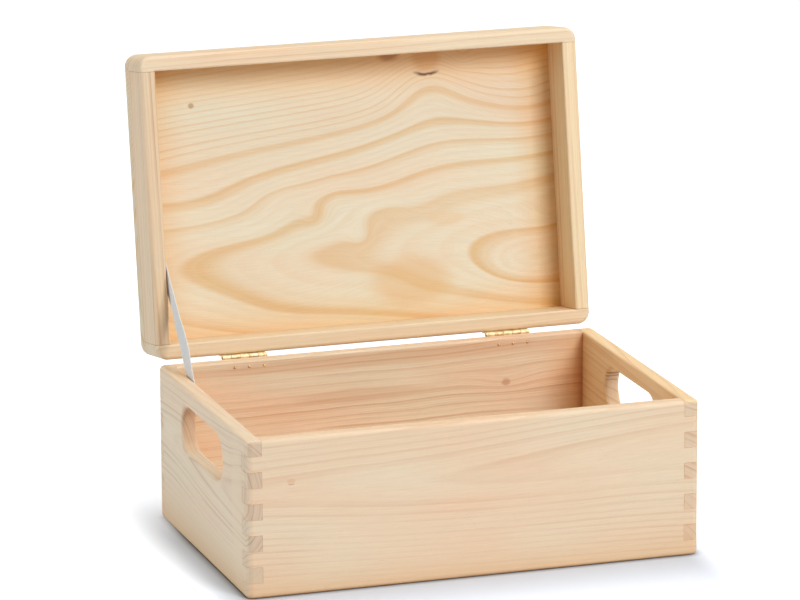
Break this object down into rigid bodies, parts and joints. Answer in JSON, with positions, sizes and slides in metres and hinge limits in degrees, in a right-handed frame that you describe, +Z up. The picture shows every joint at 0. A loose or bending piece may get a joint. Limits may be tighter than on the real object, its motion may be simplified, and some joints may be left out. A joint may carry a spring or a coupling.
{
  "type": "kindling box",
  "caption": "Rectangular pine box with fingered corners, a hand hole in each end and a deep hinged lid that a tape holds open just past upright.",
  "frame": {"origin": "middle of the box's underside, on the surface it stands on", "axes": "+X runs along the box from the end with the tape to the other, +Y from the front to the hinged back, +Z up"},
  "size_m": [0.3, 0.2702, 0.299],
  "materials": {
    "pine_body": "bare sanded pine, fine straight grain",
    "pine_lid": "bare sanded pine, bold arched figure on the wide board",
    "plywood": "bare thin plywood",
    "brass": "bright rolled brass, lightly brushed",
    "cotton_tape": "white woven cotton tape"
  },
  "bodies": {
    "box": {"front_panel": "pine_body", "back_panel": "pine_body", "left_panel": "pine_body", "right_panel": "pine_body", "bottom_panel": "plywood", "hinge_left_body_leaf": "brass", "hinge_left_pin": "brass", "hinge_right_body_leaf": "brass", "hinge_right_pin": "brass", "nail_left_body_1": "brass", "nail_left_body_2": "brass", "nail_left_body_3": "brass", "nail_right_body_1": "brass", "nail_right_body_2": "brass", "nail_right_body_3": "brass", "stay_ribbon": "cotton_tape", "stay_body_tack": "brass"},
    "lid": {"lid_front_rail": "pine_lid", "lid_back_rail": "pine_lid", "lid_left_rail": "pine_lid", "lid_right_rail": "pine_lid", "lid_board": "pine_lid", "hinge_left_lid_leaf": "brass", "hinge_right_lid_leaf": "brass", "nail_left_lid_1": "brass", "nail_left_lid_2": "brass", "nail_left_lid_3": "brass", "nail_right_lid_1": "brass", "nail_right_lid_2": "brass", "nail_right_lid_3": "brass", "stay_lid_tack": "brass"}
  },
  "joints": [
    {"name": "lid_hinge", "type": "hinge", "parent": "box", "child": "lid", "pos_m": [0, 0.1007, 0.1022], "axis": [1, 0, 0], "range_deg": [0, 99], "deforming": ["stay_ribbon"]}
  ]
}
